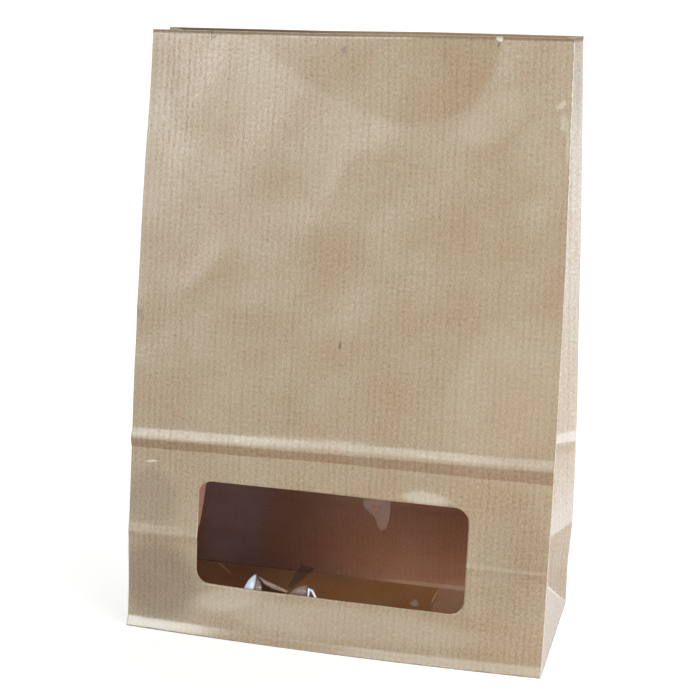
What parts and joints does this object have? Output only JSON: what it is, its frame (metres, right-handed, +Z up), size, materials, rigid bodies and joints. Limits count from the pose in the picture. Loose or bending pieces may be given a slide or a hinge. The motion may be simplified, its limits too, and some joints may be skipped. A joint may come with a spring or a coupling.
{
  "type": "bread bag with window",
  "caption": "Block-bottom paper bread bag with pleated sides, an open mouth and a clear film window low in its front, standing on its flat base.",
  "frame": {"origin": "centre of the underside of the block bottom", "axes": "+X to the right across the front panel, +Y from the window panel to the back panel, +Z up to the mouth"},
  "size_m": [0.1806, 0.082, 0.2524],
  "materials": {
    "kraft_paper": "ribbed, machine glazed, slight sheen",
    "clear_film": "clear, glossy"
  },
  "bodies": {
    "root": {"paper_bag": "kraft_paper", "window_film": "clear_film"}
  },
  "joints": []
}
